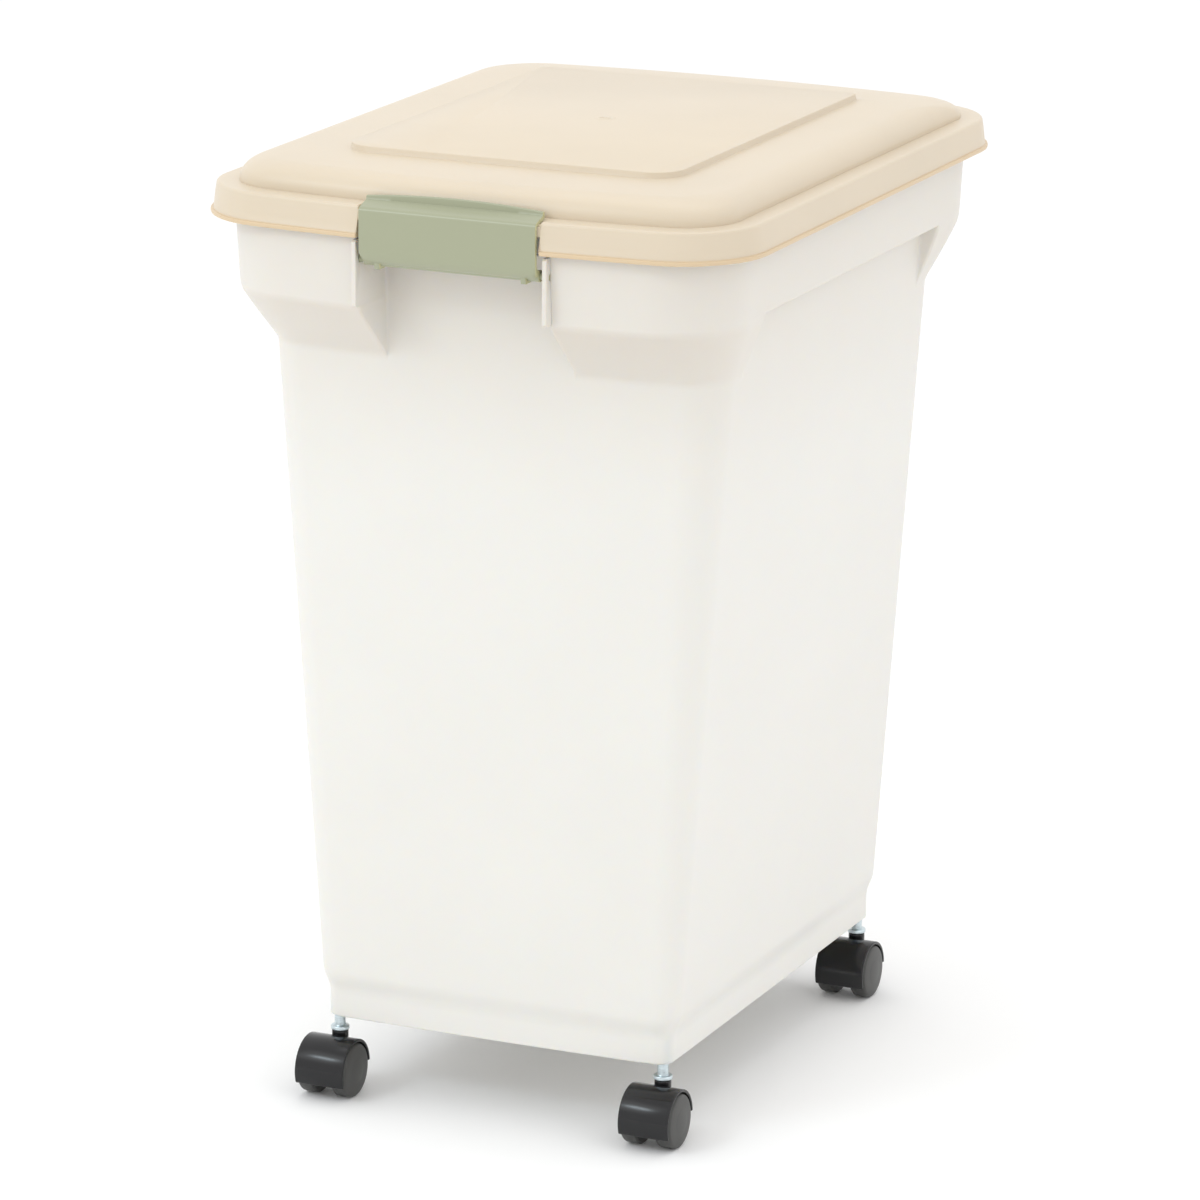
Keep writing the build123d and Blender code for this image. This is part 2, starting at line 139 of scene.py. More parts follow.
def principled(name, rough=0.5, ior=1.5, coat=0.0, coat_rough=0.2):
    material = bpy.data.materials.new(name)
    material.use_nodes = True
    tree = material.node_tree
    tree.nodes.clear()
    out = tree.nodes.new("ShaderNodeOutputMaterial")
    shader = tree.nodes.new("ShaderNodeBsdfPrincipled")
    tree.links.new(shader.outputs[0], out.inputs["Surface"])
    shader.inputs["Roughness"].default_value = rough
    shader.inputs["IOR"].default_value = ior
    shader.inputs["Coat Weight"].default_value = coat
    shader.inputs["Coat Roughness"].default_value = coat_rough
    return material, tree, shader


def noise(tree, scale, detail=4.0, rough=0.55, stretch=(1.0, 1.0, 1.0)):
    places = tree.nodes.new("ShaderNodeTexCoord")
    mapping = tree.nodes.new("ShaderNodeMapping")
    mapping.inputs["Scale"].default_value = stretch
    texture = tree.nodes.new("ShaderNodeTexNoise")
    texture.inputs["Scale"].default_value = scale
    texture.inputs["Detail"].default_value = detail
    texture.inputs["Roughness"].default_value = rough
    tree.links.new(places.outputs["Object"], mapping.inputs["Vector"])
    tree.links.new(mapping.outputs[0], texture.inputs["Vector"])
    return texture.outputs["Fac"]


def color_ramp(tree, shader, source, stops):
    """Gives the shader a base colour that runs through the stops."""
    colors = tree.nodes.new("ShaderNodeValToRGB")
    elements = colors.color_ramp.elements
    for element, (position, color) in zip(elements, stops):
        element.position = position
        element.color = (*color, 1.0)
    tree.links.new(source, colors.inputs["Fac"])
    tree.links.new(colors.outputs[0], shader.inputs["Base Color"])


def bump(tree, shader, source, strength, distance):
    relief = tree.nodes.new("ShaderNodeBump")
    relief.inputs["Strength"].default_value = strength
    relief.inputs["Distance"].default_value = distance
    tree.links.new(source, relief.inputs["Height"])
    tree.links.new(relief.outputs[0], shader.inputs["Normal"])


def vary(tree, shader, source, low, high):
    """Lets the roughness drift between two values."""
    reach = tree.nodes.new("ShaderNodeMapRange")
    reach.inputs["To Min"].default_value = low
    reach.inputs["To Max"].default_value = high
    tree.links.new(source, reach.inputs["Value"])
    tree.links.new(reach.outputs[0], shader.inputs["Roughness"])


def tint(color, gain):
    return tuple(min(1.0, c * gain) for c in color)


def plastic(name, color, rough, grain_scale, grain, spread=0.03, coat=0.0, subsurface=0.0, depth=0.01):
    """Moulded plastic: a slight drift of tone, a fine grain in the bump and in the roughness."""
    material, tree, shader = principled(name, rough, PLASTIC_IOR, coat)
    broad = noise(tree, 9.0, 3.0)
    color_ramp(tree, shader, broad, [(0.3, tint(color, 1.0 - spread)), (0.7, tint(color, 1.0 + spread))])
    fine = noise(tree, grain_scale, 6.0)
    vary(tree, shader, fine, rough - 0.05, rough + 0.05)
    bump(tree, shader, fine, grain, 0.0002)
    if subsurface:
        shader.inputs["Subsurface Weight"].default_value = subsurface
        shader.inputs["Subsurface Radius"].default_value = (depth, depth * 0.8, depth * 0.55)
    return material


def metal(name, color, rough):
    """Plated metal: a fine drawn grain in the tone, the bump and the roughness."""
    material, tree, shader = principled(name, rough)
    shader.inputs["Metallic"].default_value = 1.0
    grain = noise(tree, 260.0, 5.0, 0.6, (1.0, 1.0, 4.0))
    color_ramp(tree, shader, grain, [(0.35, tint(color, 0.86)), (0.65, tint(color, 1.08))])
    vary(tree, shader, grain, rough - 0.08, rough + 0.08)
    bump(tree, shader, grain, 0.06, 0.0001)
    return material


def by_height(material, low, high):
    """0 below a height in metres and 1 above another, or the reverse where low is the higher one."""
    tree = material.node_tree
    places = tree.nodes.new("ShaderNodeTexCoord")
    parts = tree.nodes.new("ShaderNodeSeparateXYZ")
    share = tree.nodes.new("ShaderNodeMapRange")
    share.interpolation_type = "SMOOTHSTEP"
    share.inputs["From Min"].default_value = low
    share.inputs["From Max"].default_value = high
    tree.links.new(places.outputs["Object"], parts.inputs[0])
    tree.links.new(parts.outputs["Z"], share.inputs["Value"])
    return share.outputs[0]


def by_facing(material, axis, low, high, operation):
    """How far the surface faces along an axis: ABSOLUTE means either way, MULTIPLY the negative way."""
    tree = material.node_tree
    geometry = tree.nodes.new("ShaderNodeNewGeometry")
    parts = tree.nodes.new("ShaderNodeSeparateXYZ")
    change = tree.nodes.new("ShaderNodeMath")
    change.operation = operation
    change.inputs[1].default_value = -1.0
    share = tree.nodes.new("ShaderNodeMapRange")
    share.inputs["From Min"].default_value = low
    share.inputs["From Max"].default_value = high
    tree.links.new(geometry.outputs["Normal"], parts.inputs[0])
    tree.links.new(parts.outputs[axis], change.inputs[0])
    tree.links.new(change.outputs[0], share.inputs["Value"])
    return share.outputs[0]


def product(material, one, other):
    tree = material.node_tree
    both = tree.nodes.new("ShaderNodeMath")
    both.operation = "MULTIPLY"
    tree.links.new(one, both.inputs[0])
    tree.links.new(other, both.inputs[1])
    return both.outputs[0]


def shade(material, share, color, how):
    """Blends a tone into a material's base colour; inputs 6 and 7 of the node are its two colours."""
    tree = material.node_tree
    shader = tree.nodes["Principled BSDF"]
    tone = shader.inputs["Base Color"].links[0].from_socket
    layer = tree.nodes.new("ShaderNodeMix")
    layer.data_type = "RGBA"
    layer.blend_type = how
    layer.inputs[7].default_value = (*color, 1.0)
    tree.links.new(share, layer.inputs[0])
    tree.links.new(tone, layer.inputs[6])
    tree.links.new(layer.outputs[2], shader.inputs["Base Color"])


# Materials


def tub_plastic():
    """Natural plastic that light enters, with painted shade: warmer and darker towards its top, and more so
    where it faces down.
    """
    material = plastic(
        "tub_plastic",
        (0.765, 0.752, 0.713),
        rough=0.42,
        grain_scale=420.0,
        grain=0.05,
        spread=0.008,
        subsurface=0.7,
        depth=0.022,
    )
    # Painted shade: the tub is tinted darker and warmer near its top, under the lid, and more on faces that
    # look down.
    painted_shade_tone = (0.935, 0.908, 0.88)
    top_shade_share = by_height(material, 0.42, 0.60)
    underside_shade_share = product(material, top_shade_share, by_facing(material, "Z", 0.1, 0.6, "MULTIPLY"))
    shade(material, top_shade_share, painted_shade_tone, "MULTIPLY")
    shade(material, underside_shade_share, painted_shade_tone, "MULTIPLY")
    return material


def lid_plastic():
    """Cream plastic; a painted orange highlight line tints the bead along its lower edge warmer."""
    material = plastic(
        "lid_plastic",
        (0.66, 0.567, 0.437),
        rough=0.36,
        grain_scale=600.0,
        grain=0.05,
        spread=0.018,
        subsurface=0.15,
        depth=0.006,
    )
    # Painted highlight: the bead below this height is tinted orange.
    shade(material, by_height(material, 0.6292, 0.6282), (1.0, 0.9, 0.76), "MULTIPLY")
    return material


def latch_plastic():
    """Glossy sage green plastic; faces that look along X, such as the plate's thin ends, get painted light
    that makes them lighter and yellower.
    """
    material = plastic(
        "latch_plastic",
        (0.34, 0.355, 0.238),
        rough=0.3,
        grain_scale=700.0,
        grain=0.008,
        spread=0.015,
        coat=0.15,
    )
    # Painted light: faces that look along X, either way, are mixed towards a lighter yellow-green.
    shade(material, by_facing(material, "X", 0.5, 0.9, "ABSOLUTE"), (0.52, 0.51, 0.29), "MIX")
    return material


TUB = tub_plastic()
LID = lid_plastic()
GREEN = latch_plastic()
BLACK = plastic(
    "caster_plastic",
    (0.004, 0.004, 0.005),
    rough=0.2,
    grain_scale=900.0,
    grain=0.02,
    spread=0.06,
)
TREAD = plastic("wheel_plastic", (0.05, 0.05, 0.047), rough=0.42, grain_scale=900.0, grain=0.1, spread=0.1)
SLEEVE = plastic("sleeve_plastic", (0.25, 0.27, 0.28), rough=0.5, grain_scale=700.0, grain=0.08)
FOAM = plastic("seal_foam", (0.6, 0.6, 0.58), rough=0.8, grain_scale=1500.0, grain=0.3, spread=0.05)
ZINC = metal("zinc", (0.62, 0.7, 0.73), rough=0.3)


# CAD parts that keep their shape and get a better material

CORNERS = {"front_left": (-1, -1), "front_right": (1, -1), "rear_left": (-1, 1), "rear_right": (1, 1)}


def wear(piece, material):
    piece.data.materials.clear()
    piece.data.materials.append(material)


wear(nodes["lid_seal"], FOAM)
wear(nodes["hinge_pin_left"], ZINC)
wear(nodes["hinge_pin_right"], ZINC)
for corner in CORNERS:
    wear(nodes[corner + "_axle"], ZINC)
    wear(nodes[corner + "_grip_ring"], SLEEVE)


# Mesh helpers. All their sizes are in millimetres and their angles in degrees.


def mesh_object(name, points, faces, material):
    mesh = bpy.data.meshes.new(name)
    mesh.from_pydata([Vector(p) * MM for p in points], [], faces)
    mesh.update()
    piece = bpy.data.objects.new(name, mesh)
    scene.collection.objects.link(piece)
    piece.data.materials.append(material)
    for polygon in mesh.polygons:
        polygon.use_smooth = True
    return piece


def loops_to_mesh(name, loops, material, around=False):
    """Joins closed loops of equal length into one skin, capped at both ends or joined end to end."""
    count = len(loops[0])
    points = [p for loop in loops for p in loop]
    faces = []
    last = len(loops) if around else len(loops) - 1
    for k in range(last):
        a = k * count
        b = (k + 1) % len(loops) * count
        for i in range(count):
            j = (i + 1) % count
            faces.append((a + i, a + j, b + j, b + i))
    if not around:
        faces.append(tuple(range(count - 1, -1, -1)))
        faces.append(tuple(range((len(loops) - 1) * count, len(loops) * count)))
    return mesh_object(name, points, faces, material)


def tidy_normals(piece, angle=40.0):
    """Turns the faces outwards and keeps an edge sharp where it bends past the angle."""
    mesh = bmesh.new()
    mesh.from_mesh(piece.data)
    bmesh.ops.recalc_face_normals(mesh, faces=mesh.faces)
    for edge in mesh.edges:
        if len(edge.link_faces) == 2:
            edge.smooth = edge.calc_face_angle() < math.radians(angle)
    mesh.to_mesh(piece.data)
    mesh.free()
    return piece


def bevel(piece, width, segments=2, angle=50.0):
    """Rounds the edges that bend past the angle."""
    modifier = piece.modifiers.new("bevel", "BEVEL")
    modifier.width = width * MM
    modifier.segments = segments
    modifier.limit_method = "ANGLE"
    modifier.angle_limit = math.radians(angle)
    modifier.harden_normals = False
    graph = bpy.context.evaluated_depsgraph_get()
    rounded = bpy.data.meshes.new_from_object(piece.evaluated_get(graph))
    piece.modifiers.clear()
    piece.data = rounded
    for polygon in rounded.polygons:
        polygon.use_smooth = True
    return tidy_normals(piece, 35.0)


def join(name, pieces):
    """Joins meshes that share their material into one piece."""
    whole = bmesh.new()
    for piece in pieces:
        whole.from_mesh(piece.data)
    mesh = bpy.data.meshes.new(name)
    whole.to_mesh(mesh)
    whole.free()
    mesh.materials.append(pieces[0].data.materials[0])
    for piece in pieces:
        bpy.data.objects.remove(piece)
    joined = bpy.data.objects.new(name, mesh)
    scene.collection.objects.link(joined)
    return joined


def plate(name, profile, start, end, material, hole=None):
    """A plate drawn as (y, z) and extruded along X, with a round hole (y, z, radius) if wanted."""
    loops = [profile]
    if hole:
        y, z, radius = hole
        turns = [2 * math.pi * k / 32 for k in range(32)]
        loops.append([(y + radius * math.cos(t), z + radius * math.sin(t)) for t in turns])
    solid = bmesh.new()
    edges = []
    for loop in loops:
        points = [solid.verts.new((start * MM, y * MM, z * MM)) for y, z in loop]
        for i in range(len(points)):
            edges.append(solid.edges.new((points[i], points[(i + 1) % len(points)])))
    bmesh.ops.triangle_fill(solid, use_beauty=True, edges=edges)
    grown = bmesh.ops.extrude_face_region(solid, geom=solid.faces[:])
    moved = [g for g in grown["geom"] if isinstance(g, bmesh.types.BMVert)]
    bmesh.ops.translate(solid, verts=moved, vec=((end - start) * MM, 0, 0))
    bmesh.ops.recalc_face_normals(solid, faces=solid.faces)
    bmesh.ops.dissolve_limit(solid, angle_limit=0.01, verts=solid.verts, edges=solid.edges)
    mesh = bpy.data.meshes.new(name)
    solid.to_mesh(mesh)
    solid.free()
    mesh.materials.append(material)
    piece = bpy.data.objects.new(name, mesh)
    scene.collection.objects.link(piece)
    return piece


def lathe(name, profile, material, centre, axis="Z", turns=64, around=False):
    """Turns (radius, along) points about an axis through centre."""
    loops = []
    for radius, along in profile:
        loop = []
        for k in range(turns):
            a = 2 * math.pi * k / turns
            u = radius * math.cos(a)
            v = radius * math.sin(a)
            p = (u, v, along) if axis == "Z" else (along, u, v)
            loop.append((centre[0] + p[0], centre[1] + p[1], centre[2] + p[2]))
        loops.append(loop)
    return tidy_normals(loops_to_mesh(name, loops, material, around), 35.0)


def arc(centre_u, centre_v, radius, start, end, steps):
    """Points along an arc of a profile."""
    angles = [math.radians(start + (end - start) * k / steps) for k in range(steps + 1)]
    return [(centre_u + radius * math.cos(a), centre_v + radius * math.sin(a)) for a in angles]


def shifted(piece):
    """Moves a piece drawn about the tub's own middle into the CAD frame."""
    for vertex in piece.data.vertices:
        vertex.co.y += SHIFT * MM
    return piece


# Rounded outlines with matching points, so that any two can be joined into a skin

CORNER_STEPS = 12
SPREAD_STEPS = 5
MARKS_REACH = 0.97
STEP_MARKS = (-1.0, -0.75, -0.5, -0.28, -0.1, -0.01, 0.01, 0.1, 0.28, 0.5, 0.75, 1.0)
INNER_MARKS = (-0.6, -0.05, 0.05, 0.6, 1.4)


class Columns:
    """Where the points of an outline lie: fixed places near features, spread places beyond."""

    def __init__(self, front, side, rear):
        self.front = front
        self.side = side
        self.rear = rear

    def along(self, marks, end):
        """Fixed places for the marks, kept short of the corner, and spread places up to it."""
        scale = min(1.0, MARKS_REACH * end / max(marks))
        reach = max(marks) * scale
        gap = end - reach
        spread = [reach + gap * k / SPREAD_STEPS for k in range(1, SPREAD_STEPS + 1)]
        return [-v for v in reversed(spread)] + [m * scale for m in marks] + spread

    def outline(self, half_x, half_y, radius, bow, z, shift=0.0, rear_radius=None):
        """Points (x, y, z, side, place), anticlockwise from the front left."""
        rear_r = radius if rear_radius is None else rear_radius
        side_y = half_y - bow
        points = []

        def bulge(x):
            return bow * (1 - (x / half_x) ** 2)

        def round_corner(centre_x, centre_y, r, start, way):
            for k in range(1, CORNER_STEPS):
                a = math.radians(start + 90 * k / CORNER_STEPS)
                x = centre_x + r * math.cos(a)
                points.append((x, centre_y + r * math.sin(a) + way * bulge(x), z, "corner", 0.0))

        low = -(side_y - radius)
        high = side_y - rear_r
        side_places = self.along(self.side, (high - low) / 2)
        for x in self.along(self.front, half_x - radius):
            points.append((x, -side_y - bulge(x), z, "front", abs(x)))
        round_corner(half_x - radius, low, radius, -90, -1.0)
        for y in side_places:
            points.append((half_x, y + (low + high) / 2, z, "side", abs(y)))
        round_corner(half_x - rear_r, high, rear_r, 0, 1.0)
        for x in reversed(self.along(self.rear, half_x - rear_r)):
            points.append((x, side_y + bulge(x), z, "rear", abs(x)))
        round_corner(rear_r - half_x, high, rear_r, 90, 1.0)
        for y in reversed(side_places):
            points.append((-half_x, y + (low + high) / 2, z, "side", abs(y)))
        round_corner(radius - half_x, low, radius, 180, -1.0)
        return [(x, y + shift, z, side, place) for x, y, z, side, place in points]


def around_jump(place, radius, fill, inset=0.0):
    """Marks from -place to place with close points where the outer and inner surfaces step."""
    edge = [place + radius * t for t in STEP_MARKS]
    if inset:
        edge += [place + inset + t for t in INNER_MARKS]
        edge.sort()
    middle = [edge[0] * k / fill for k in range(1 - fill, fill)]
    return [-v for v in reversed(edge)] + middle + edge


def even_marks(reach, count):
    """Marks from -reach to reach, with a number of equal gaps on each side of the middle."""
    return [reach * k / count for k in range(-count, count + 1)]


def stepped(t, low, high, radius):
    """A step from low to high at t = 0, with a fillet below and a round above."""
    r = min(radius, (high - low) / 2)
    if r <= 0 or t >= radius:
        return high
    if t <= -radius:
        return low
    u = t / radius
    if u < 0:
        return low + r * (1 - math.sqrt(1 - (1 + u) ** 2))
    return high - r * (1 - math.sqrt(1 - (1 - u) ** 2))


def mix(a, b, share):
    return a + (b - a) * share


def rounded_ramp(z, start, end, bend):
    """0 below start, 1 above end, straight between them, with both bends rounded."""
    run = end - start
    value = min(1.0, max(0.0, (z - start) / run))
    for knee, sign in ((start, 1.0), (end, -1.0)):
        past = z - knee
        if abs(past) < bend:
            value += sign * ((past + bend) ** 2 / (4 * bend) - max(0.0, past)) / run
    return value


def plain(ring):
    return [p[:3] for p in ring]


# Tub: one skin from the hollow foot, up the outside, over the rim and down the inside.
# X and Y sizes are half widths and half depths, and a bow is how far the front and rear bulge.
# The wall's sizes hold at the shoulder and the band's at its lower edge.

FOOT_X = 130.0
FOOT_Y = 187.0
FOOT_R = 12.0
FOOT_BOW = 1.5
WALL_X = 166.8
WALL_Y = 210.2
WALL_R = 28.0
BOW = 13.0
BAND_X = 182.8
BAND_Y = 252.2
BAND_R = 52.0
FLARE = 3.5
FOOT_Z = 55.18
STEP_Z = 77.18
FLOOR_Z = 84.18
SHOULDER_Z = 535.18
BAND_Z = 575.18
LEDGE_Z = 577.18
ROOF_Z = 623.38
RIM_Z = 639.18
RIM_LOW = 630.0
BAND_LEVELS = (590.0, 600.0, 610.0)
STEP_OUT = 4.5
STEP_BEND = 4.8
SHOULDER_BEND = 4.0
WALL = 3.2
FLOOR_T = 4.0
ROUND = 2.5
RECESS = 69.0
GRIP = 157.0
REAR_GAP = 125.0
REAR_MARKS_IN = 2.5
TUB_COLUMNS = Columns(
    around_jump(RECESS, ROUND, 6, WALL),
    around_jump(GRIP, ROUND, 8, WALL),
    around_jump(REAR_GAP, ROUND, 6, REAR_MARKS_IN),
)
JUMPS = {"front": RECESS, "side": GRIP, "rear": REAR_GAP}

# Places of the latch's pivot and the lid's hinge as (y, z), and of a front right stem as (x, y)
PIVOT = (-251.5, 610.18)
HINGE = (266.47, 617.38)
STEM = (122.6, 176.5)

EAR_IN = 67.4
EAR_OUT = 70.6
EAR_FRONT = -258.7
EAR_BACK = -216.0
EAR_LOW = 577.2
EAR_TOP = 623.4
EAR_HOLE_R = 2.58
HINGE_X = 95.0
HINGE_R = 5.5
CHEEK_OFF = 18.0
CHEEK_T = 5.0
CHEEK_H = 24.0
CHEEK_HOLE_R = 2.03
BOSS_R = 6.2
BOSS_HOLE_R = 5.28


def foot_ring(z, inset):
    return plain(TUB_COLUMNS.outline(FOOT_X - inset, FOOT_Y - inset, FOOT_R - inset, FOOT_BOW, z))


def wall_ring(z, inset):
    """The tapered wall, with the soft step that joins it to the foot."""
    share = max(0.0, z - FLOOR_Z) / (SHOULDER_Z - FLOOR_Z)
    out = STEP_OUT * rounded_ramp(z, STEP_Z - 1.0, FLOOR_Z + 2.0, STEP_BEND) - inset
    half_x = mix(FOOT_X, WALL_X - STEP_OUT, share) + out
    half_y = mix(FOOT_Y, WALL_Y - STEP_OUT, share) + out
    radius = mix(FOOT_R, WALL_R - STEP_OUT, share) + out
    return TUB_COLUMNS.outline(half_x, half_y, radius, mix(FOOT_BOW, BOW, share), z)


def band_ring(z, inset):
    """The band round the top, which flares to the rim."""
    grow = FLARE * max(0.0, z - BAND_Z) / (RIM_Z - BAND_Z) - inset
    return TUB_COLUMNS.outline(BAND_X + grow, BAND_Y + grow, BAND_R + grow, BOW, z)


def tub_ring(z, inset=0.0):
    """A level of the tub: wall, corner pods, hand grips at the sides and the latch's recess."""
    ring = []
    for wall, band in zip(wall_ring(z, inset), band_ring(z, inset)):
        reach = math.hypot(band[0] - wall[0], band[1] - wall[1])
        pod = reach * rounded_ramp(z, SHOULDER_Z, BAND_Z, SHOULDER_BEND)
        out = pod
        side = band[3]
        if side in JUMPS:
            top = ROOF_Z if side == "front" else LEDGE_Z
            gap = stepped(z - top - inset, 0.0, reach, ROUND)
            low = min(gap, pod)
            high = max(gap, pod)
            past = band[4] - (JUMPS[side] + inset)
            out = high if z > top + inset + ROUND else stepped(past, low, high, ROUND)
        share = out / reach if reach else 0.0
        ring.append((mix(wall[0], band[0], share), mix(wall[1], band[1], share), z))
    return ring


def jump_levels(z):
    return [z + ROUND * t for t in STEP_MARKS]


def tub_levels(inset):
    """Heights of the rings above the floor, close together where the tub bends or steps."""
    levels = [FLOOR_Z + 12 + 40 * k for k in range(11)]
    levels += [SHOULDER_Z + t for t in (-12, -4, -2.5, -1, 0, 1, 2.5, 4)]
    levels += [mix(SHOULDER_Z + 4, BAND_Z - 4, k / 8) for k in range(1, 8)]
    levels += [BAND_Z + t for t in (-4, -3, -2, -1)]
    levels += jump_levels(LEDGE_Z + inset)
    levels += BAND_LEVELS
    levels += jump_levels(ROOF_Z + inset)
    return sorted(levels)


def tub_skin():
    """The foot's inside and edge, the outside up to the rim, and the inside down to the floor."""
    foot_edge = arc(1.5, FOOT_Z + 1.5, 1.5, -90, -180, 5)
    foot_steps = (-10, -6, -5, -4, -3, -2, -1, 0, 1, 2.5, 4, 5.5, 7, 8, 9, 10, 11, 12, 13, 14)
    rim = [(0.0, RIM_LOW), (0.0, RIM_Z - 3.8), (-0.3, RIM_Z - 3.5), (-1.0, RIM_Z - 3.2), (-1.0, RIM_Z - 0.7)]
    rim += [(-0.8, RIM_Z - 0.2), (-0.3, RIM_Z), (WALL - 0.5, RIM_Z), (WALL, RIM_Z - 0.5)]
    loops = [foot_ring(FLOOR_Z, WALL), foot_ring(FOOT_Z + 1.0, WALL), foot_ring(FOOT_Z, WALL - 0.8)]
    loops += [foot_ring(z, inset) for inset, z in foot_edge]
    loops += [plain(wall_ring(STEP_Z + t, 0.0)) for t in foot_steps]
    loops += [tub_ring(z) for z in tub_levels(0.0)]
    loops += [plain(band_ring(z, inset)) for inset, z in rim]
    loops += [tub_ring(z, WALL) for z in reversed(tub_levels(WALL))]
    loops += [plain(wall_ring(FLOOR_Z + FLOOR_T, WALL))]
    return tidy_normals(loops_to_mesh("tub_skin", loops, TUB))


def ear(side):
    """The plate at one end of the recess in which the latch's barrel turns."""
    profile = [(EAR_FRONT, EAR_LOW + 2.0), (EAR_FRONT + 2.0, EAR_LOW), (EAR_BACK, EAR_LOW)]
    profile += [(EAR_BACK, EAR_TOP), (EAR_FRONT + 1.5, EAR_TOP), (EAR_FRONT, EAR_TOP - 1.5)]
    start, end = sorted((side * EAR_IN, side * EAR_OUT))
    return bevel(plate("ear", profile, start, end, TUB, (*PIVOT, EAR_HOLE_R)), 0.6)


def cheek(x):
    """One of the two plates that carry a hinge pin."""
    wall_y = BAND_Y - BOW * (x / BAND_X) ** 2 + 0.2
    top = HINGE[1] + HINGE_R
    profile = [(wall_y, top), (wall_y, top - CHEEK_H)]
    profile += arc(*HINGE, HINGE_R, -90, 90, 16)
    half = CHEEK_T / 2
    return bevel(plate("cheek", profile, x - half, x + half, TUB, (*HINGE, CHEEK_HOLE_R)), 0.5)


def boss(side, end):
    """The socket of one caster, from the floor down to the foot's edge."""
    profile = [(BOSS_HOLE_R, FLOOR_Z + 1), (BOSS_HOLE_R, FOOT_Z + 0.2), (BOSS_HOLE_R + 0.22, FOOT_Z)]
    profile += [(BOSS_R - 0.2, FOOT_Z), (BOSS_R, FOOT_Z + 0.2), (BOSS_R, FLOOR_Z + 1)]
    return lathe("boss", profile, TUB, (side * STEM[0], end * STEM[1], 0.0), around=True)


tub_parts = [tub_skin()]
for side in (-1, 1):
    tub_parts.append(ear(side))
    tub_parts += [cheek(side * HINGE_X + offset) for offset in (-CHEEK_OFF, CHEEK_OFF)]
    tub_parts += [boss(side, end) for end in (-1, 1)]
tub = shifted(join("tub", tub_parts))
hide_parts("body_tub")
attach(tub, "root")


# Lid: one skin from under the panel, over the seal ribs and the lip, and up to the panel's top

LIP_X = 200.0
LIP_Y = 263.0
LIP_R = 54.0
LIP_Z = 625.38
DECK_Z = 643.88
FLANGE_Z = 646.88
DOME_Z = 663.88
LID_T = 3.0
FLANGE_IN = 19.5
DOME_H = 17.0
DOME_IN = 24.0
DOME_REAR_IN = 105.0
DOME_END = 0.86
PANEL_X = 122.0
PANEL_LOW = -172.0
PANEL_HIGH = 155.0
PANEL_R = 22.0
PANEL_REAR_R = 5.0
PANEL_H = 4.2
PANEL_MIDDLE = (PANEL_LOW + PANEL_HIGH) / 2
RIB_X = 187.3
RIB_Y = 256.7
RIB_R = 56.5
RIB_H = 3.5
NOTCH = 66.0
NOTCH_Y = -258.0
NOTCH_H = 12.0
NOTCH_WALL = 1.2
DROOP_Y = -246.0
DROOP = 2.6
DROOP_RUN = 12.0
KNUCKLE_HALF = 15.0
KNUCKLE_IN = 5.5
KNUCKLE_HOLE_R = 2.08
GATE_R = 7.5
LID_COLUMNS = Columns(around_jump(NOTCH, 1.0, 8), even_marks(120, 4), even_marks(100, 4))


def soft_limit(y, limit):
    """Brings a place in front of a limit back to it, keeping the order of the points."""
    return y if y > limit else limit + 0.03 * (y - limit)


def lifted(z):
    """Squeezes the skirt's height above the notch."""
    return FLANGE_Z - (FLANGE_Z - z) * (FLANGE_Z - LIP_Z - NOTCH_H) / (FLANGE_Z - LIP_Z)


def notched_ring(inset, height, limit, droops):
    """A ring that is drawn back and lifted at the notch, where its top may droop to the front."""
    ring = []
    outline = LID_COLUMNS.outline(LIP_X - inset, LIP_Y - inset, LIP_R - inset, BOW, height)
    for x, y, z, side, place in outline:
        if side == "front":
            share = 1.0 - stepped(place - NOTCH, 0.0, 1.0, 0.5)
            y = mix(y, soft_limit(y, limit), share)
            drop = max(0.0, DROOP_Y - y) * DROOP / DROOP_RUN if droops else 0.0
            z = mix(z, lifted(z) - drop, share)
        ring.append((x, y, z))
    return ring


def lid_ring(inset, z):
    return notched_ring(inset, z, NOTCH_Y, z > FLANGE_Z - LID_T)


def under_ring(inset, z):
    return notched_ring(inset, z, NOTCH_Y + NOTCH_WALL, False)


def rib_ring(inset, z):
    return plain(LID_COLUMNS.outline(RIB_X - inset, RIB_Y - inset, RIB_R - inset, BOW, z))


def dome_ring(share, inset):
    """A ring of the dome, which rises steeply at first and leans in most at the rear."""
    move = share**2
    side = FLANGE_IN + inset + DOME_IN * move
    slide = (DOME_REAR_IN - DOME_IN) * move
    z = FLANGE_Z + (DOME_H - inset) * (1 - (1 - share) ** 2)
    radius = LIP_R - FLANGE_IN - inset
    return plain(LID_COLUMNS.outline(LIP_X - side, LIP_Y - side - slide / 2, radius, BOW, z, -slide / 2))


def panel_ring(inset, z):
    half_y = (PANEL_HIGH - PANEL_LOW) / 2 - inset
    rear_r = PANEL_REAR_R - inset / 2
    ring = LID_COLUMNS.outline(PANEL_X - inset, half_y, PANEL_R - inset, 0.0, z, PANEL_MIDDLE, rear_r)
    return plain(ring)


